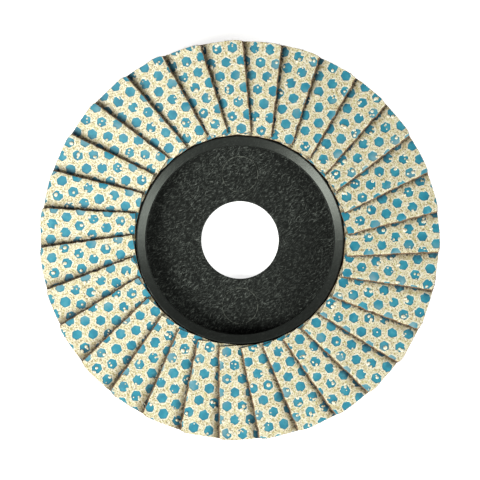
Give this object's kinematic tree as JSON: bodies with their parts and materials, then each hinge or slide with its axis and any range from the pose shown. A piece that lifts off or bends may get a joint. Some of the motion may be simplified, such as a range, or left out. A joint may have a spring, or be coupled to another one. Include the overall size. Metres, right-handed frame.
{
  "type": "diamond flap disc for an angle grinder",
  "caption": "Flat flap disc: moulded backing plate with a recessed hub and bore, and a closed ring of overlapping diamond-dot cloth flaps bonded along one edge.",
  "frame": {"origin": "centre of the bore on the hub's back face, the face that sits on the grinder's inner flange", "axes": "+Z along the bore axis towards the working face; +X and +Y lie in the plate's plane"},
  "size_m": [0.1142, 0.114, 0.0106],
  "materials": {
    "backing_plastic": "glass-fibre-filled nylon, as moulded, satin",
    "adhesive": "cured epoxy, semi-gloss",
    "diamond_cloth": "cream diamond-grit honeycomb around recessed teal hexagonal dots, on brown cloth"
  },
  "bodies": {
    "disc": {"backing_plate": "backing_plastic", "adhesive_bed": "adhesive"},
    "flap_01": {"flap_01": "diamond_cloth"},
    "flap_02": {"flap_02": "diamond_cloth"},
    "flap_03": {"flap_03": "diamond_cloth"},
    "flap_04": {"flap_04": "diamond_cloth"},
    "flap_05": {"flap_05": "diamond_cloth"},
    "flap_06": {"flap_06": "diamond_cloth"},
    "flap_07": {"flap_07": "diamond_cloth"},
    "flap_08": {"flap_08": "diamond_cloth"},
    "flap_09": {"flap_09": "diamond_cloth"},
    "flap_10": {"flap_10": "diamond_cloth"},
    "flap_11": {"flap_11": "diamond_cloth"},
    "flap_12": {"flap_12": "diamond_cloth"},
    "flap_13": {"flap_13": "diamond_cloth"},
    "flap_14": {"flap_14": "diamond_cloth"},
    "flap_15": {"flap_15": "diamond_cloth"},
    "flap_16": {"flap_16": "diamond_cloth"},
    "flap_17": {"flap_17": "diamond_cloth"},
    "flap_18": {"flap_18": "diamond_cloth"},
    "flap_19": {"flap_19": "diamond_cloth"},
    "flap_20": {"flap_20": "diamond_cloth"},
    "flap_21": {"flap_21": "diamond_cloth"},
    "flap_22": {"flap_22": "diamond_cloth"},
    "flap_23": {"flap_23": "diamond_cloth"},
    "flap_24": {"flap_24": "diamond_cloth"},
    "flap_25": {"flap_25": "diamond_cloth"},
    "flap_26": {"flap_26": "diamond_cloth"},
    "flap_27": {"flap_27": "diamond_cloth"},
    "flap_28": {"flap_28": "diamond_cloth"},
    "flap_29": {"flap_29": "diamond_cloth"},
    "flap_30": {"flap_30": "diamond_cloth"},
    "flap_31": {"flap_31": "diamond_cloth"}
  },
  "joints": [
    {"name": "flap_01_lift", "type": "hinge", "parent": "disc", "child": "flap_01", "pos_m": [-0.01286, 0.02871, 0.00801], "axis": [0.1002, -0.995, 0], "range_deg": [0, 8], "stiffness_Nm_per_rad": 0.05},
    {"name": "flap_02_lift", "type": "hinge", "parent": "disc", "child": "flap_02", "pos_m": [-0.00681, 0.03071, 0.00801], "axis": [-0.1021, -0.9948, 0], "range_deg": [0, 8], "stiffness_Nm_per_rad": 0.05},
    {"name": "flap_03_lift", "type": "hinge", "parent": "disc", "child": "flap_03", "pos_m": [-0.00049, 0.03145, 0.00801], "axis": [-0.3003, -0.9538, 0], "range_deg": [0, 8], "stiffness_Nm_per_rad": 0.05},
    {"name": "flap_04_lift", "type": "hinge", "parent": "disc", "child": "flap_04", "pos_m": [0.00585, 0.03091, 0.00801], "axis": [-0.4862, -0.8739, 0], "range_deg": [0, 8], "stiffness_Nm_per_rad": 0.05},
    {"name": "flap_05_lift", "type": "hinge", "parent": "disc", "child": "flap_05", "pos_m": [0.01195, 0.0291, 0.00801], "axis": [-0.6521, -0.7581, 0], "range_deg": [0, 8], "stiffness_Nm_per_rad": 0.05},
    {"name": "flap_06_lift", "type": "hinge", "parent": "disc", "child": "flap_06", "pos_m": [0.01756, 0.02609, 0.00801], "axis": [-0.7914, -0.6113, 0], "range_deg": [0, 8], "stiffness_Nm_per_rad": 0.05},
    {"name": "flap_07_lift", "type": "hinge", "parent": "disc", "child": "flap_07", "pos_m": [0.02245, 0.02203, 0.00801], "axis": [-0.8982, -0.4395, 0], "range_deg": [0, 8], "stiffness_Nm_per_rad": 0.05},
    {"name": "flap_08_lift", "type": "hinge", "parent": "disc", "child": "flap_08", "pos_m": [0.02643, 0.01705, 0.00801], "axis": [-0.9683, -0.2497, 0], "range_deg": [0, 8], "stiffness_Nm_per_rad": 0.05},
    {"name": "flap_09_lift", "type": "hinge", "parent": "disc", "child": "flap_09", "pos_m": [0.02932, 0.01139, 0.00801], "axis": [-0.9988, -0.0497, 0], "range_deg": [0, 8], "stiffness_Nm_per_rad": 0.05},
    {"name": "flap_10_lift", "type": "hinge", "parent": "disc", "child": "flap_10", "pos_m": [0.03101, 0.00525, 0.00801], "axis": [-0.9883, 0.1524, 0], "range_deg": [0, 8], "stiffness_Nm_per_rad": 0.05},
    {"name": "flap_11_lift", "type": "hinge", "parent": "disc", "child": "flap_11", "pos_m": [0.03143, -0.0011, 0.00801], "axis": [-0.9374, 0.3482, 0], "range_deg": [0, 8], "stiffness_Nm_per_rad": 0.05},
    {"name": "flap_12_lift", "type": "hinge", "parent": "disc", "child": "flap_12", "pos_m": [0.03057, -0.00741, 0.00801], "axis": [-0.8481, 0.5298, 0], "range_deg": [0, 8], "stiffness_Nm_per_rad": 0.05},
    {"name": "flap_13_lift", "type": "hinge", "parent": "disc", "child": "flap_13", "pos_m": [0.02845, -0.01341, 0.00801], "axis": [-0.7241, 0.6897, 0], "range_deg": [0, 8], "stiffness_Nm_per_rad": 0.05},
    {"name": "flap_14_lift", "type": "hinge", "parent": "disc", "child": "flap_14", "pos_m": [0.02517, -0.01886, 0.00801], "axis": [-0.5705, 0.8213, 0], "range_deg": [0, 8], "stiffness_Nm_per_rad": 0.05},
    {"name": "flap_15_lift", "type": "hinge", "parent": "disc", "child": "flap_15", "pos_m": [0.02086, -0.02354, 0.00801], "axis": [-0.3935, 0.9193, 0], "range_deg": [0, 8], "stiffness_Nm_per_rad": 0.05},
    {"name": "flap_16_lift", "type": "hinge", "parent": "disc", "child": "flap_16", "pos_m": [0.01569, -0.02726, 0.00801], "axis": [-0.2003, 0.9797, 0], "range_deg": [0, 8], "stiffness_Nm_per_rad": 0.05},
    {"name": "flap_17_lift", "type": "hinge", "parent": "disc", "child": "flap_17", "pos_m": [0.00989, -0.02986, 0.00801], "axis": [0.001, 1, 0], "range_deg": [0, 8], "stiffness_Nm_per_rad": 0.05},
    {"name": "flap_18_lift", "type": "hinge", "parent": "disc", "child": "flap_18", "pos_m": [0.00367, -0.03124, 0.00801], "axis": [0.2023, 0.9793, 0], "range_deg": [0, 8], "stiffness_Nm_per_rad": 0.05},
    {"name": "flap_19_lift", "type": "hinge", "parent": "disc", "child": "flap_19", "pos_m": [-0.00269, -0.03134, 0.00801], "axis": [0.3953, 0.9186, 0], "range_deg": [0, 8], "stiffness_Nm_per_rad": 0.05},
    {"name": "flap_20_lift", "type": "hinge", "parent": "disc", "child": "flap_20", "pos_m": [-0.00894, -0.03016, 0.00801], "axis": [0.5721, 0.8202, 0], "range_deg": [0, 8], "stiffness_Nm_per_rad": 0.05},
    {"name": "flap_21_lift", "type": "hinge", "parent": "disc", "child": "flap_21", "pos_m": [-0.01483, -0.02774, 0.00801], "axis": [0.7255, 0.6883, 0], "range_deg": [0, 8], "stiffness_Nm_per_rad": 0.05},
    {"name": "flap_22_lift", "type": "hinge", "parent": "disc", "child": "flap_22", "pos_m": [-0.02011, -0.02418, 0.00801], "axis": [0.8492, 0.5281, 0], "range_deg": [0, 8], "stiffness_Nm_per_rad": 0.05},
    {"name": "flap_23_lift", "type": "hinge", "parent": "disc", "child": "flap_23", "pos_m": [-0.02457, -0.01964, 0.00801], "axis": [0.9381, 0.3464, 0], "range_deg": [0, 8], "stiffness_Nm_per_rad": 0.05},
    {"name": "flap_24_lift", "type": "hinge", "parent": "disc", "child": "flap_24", "pos_m": [-0.02802, -0.01429, 0.00801], "axis": [0.9886, 0.1505, 0], "range_deg": [0, 8], "stiffness_Nm_per_rad": 0.05},
    {"name": "flap_25_lift", "type": "hinge", "parent": "disc", "child": "flap_25", "pos_m": [-0.03032, -0.00836, 0.00801], "axis": [0.9987, -0.0516, 0], "range_deg": [0, 8], "stiffness_Nm_per_rad": 0.05},
    {"name": "flap_26_lift", "type": "hinge", "parent": "disc", "child": "flap_26", "pos_m": [-0.03138, -0.00209, 0.00801], "axis": [0.9678, -0.2516, 0], "range_deg": [0, 8], "stiffness_Nm_per_rad": 0.05},
    {"name": "flap_27_lift", "type": "hinge", "parent": "disc", "child": "flap_27", "pos_m": [-0.03116, 0.00427, 0.00801], "axis": [0.8974, -0.4413, 0], "range_deg": [0, 8], "stiffness_Nm_per_rad": 0.05},
    {"name": "flap_28_lift", "type": "hinge", "parent": "disc", "child": "flap_28", "pos_m": [-0.02966, 0.01046, 0.00801], "axis": [0.7902, -0.6129, 0], "range_deg": [0, 8], "stiffness_Nm_per_rad": 0.05},
    {"name": "flap_29_lift", "type": "hinge", "parent": "disc", "child": "flap_29", "pos_m": [-0.02695, 0.01622, 0.00801], "axis": [0.6506, -0.7594, 0], "range_deg": [0, 8], "stiffness_Nm_per_rad": 0.05},
    {"name": "flap_30_lift", "type": "hinge", "parent": "disc", "child": "flap_30", "pos_m": [-0.02313, 0.02131, 0.00801], "axis": [0.4844, -0.8748, 0], "range_deg": [0, 8], "stiffness_Nm_per_rad": 0.05},
    {"name": "flap_31_lift", "type": "hinge", "parent": "disc", "child": "flap_31", "pos_m": [-0.01837, 0.02553, 0.00801], "axis": [0.2984, -0.9544, 0], "range_deg": [0, 8], "stiffness_Nm_per_rad": 0.05}
  ],
  "couplings": [
    {"joint": "flap_02_lift", "follows": "flap_01_lift", "ratio": 1},
    {"joint": "flap_03_lift", "follows": "flap_01_lift", "ratio": 1},
    {"joint": "flap_04_lift", "follows": "flap_01_lift", "ratio": 1},
    {"joint": "flap_05_lift", "follows": "flap_01_lift", "ratio": 1},
    {"joint": "flap_06_lift", "follows": "flap_01_lift", "ratio": 1},
    {"joint": "flap_07_lift", "follows": "flap_01_lift", "ratio": 1},
    {"joint": "flap_08_lift", "follows": "flap_01_lift", "ratio": 1},
    {"joint": "flap_09_lift", "follows": "flap_01_lift", "ratio": 1},
    {"joint": "flap_10_lift", "follows": "flap_01_lift", "ratio": 1},
    {"joint": "flap_11_lift", "follows": "flap_01_lift", "ratio": 1},
    {"joint": "flap_12_lift", "follows": "flap_01_lift", "ratio": 1},
    {"joint": "flap_13_lift", "follows": "flap_01_lift", "ratio": 1},
    {"joint": "flap_14_lift", "follows": "flap_01_lift", "ratio": 1},
    {"joint": "flap_15_lift", "follows": "flap_01_lift", "ratio": 1},
    {"joint": "flap_16_lift", "follows": "flap_01_lift", "ratio": 1},
    {"joint": "flap_17_lift", "follows": "flap_01_lift", "ratio": 1},
    {"joint": "flap_18_lift", "follows": "flap_01_lift", "ratio": 1},
    {"joint": "flap_19_lift", "follows": "flap_01_lift", "ratio": 1},
    {"joint": "flap_20_lift", "follows": "flap_01_lift", "ratio": 1},
    {"joint": "flap_21_lift", "follows": "flap_01_lift", "ratio": 1},
    {"joint": "flap_22_lift", "follows": "flap_01_lift", "ratio": 1},
    {"joint": "flap_23_lift", "follows": "flap_01_lift", "ratio": 1},
    {"joint": "flap_24_lift", "follows": "flap_01_lift", "ratio": 1},
    {"joint": "flap_25_lift", "follows": "flap_01_lift", "ratio": 1},
    {"joint": "flap_26_lift", "follows": "flap_01_lift", "ratio": 1},
    {"joint": "flap_27_lift", "follows": "flap_01_lift", "ratio": 1},
    {"joint": "flap_28_lift", "follows": "flap_01_lift", "ratio": 1},
    {"joint": "flap_29_lift", "follows": "flap_01_lift", "ratio": 1},
    {"joint": "flap_30_lift", "follows": "flap_01_lift", "ratio": 1},
    {"joint": "flap_31_lift", "follows": "flap_01_lift", "ratio": 1}
  ]
}
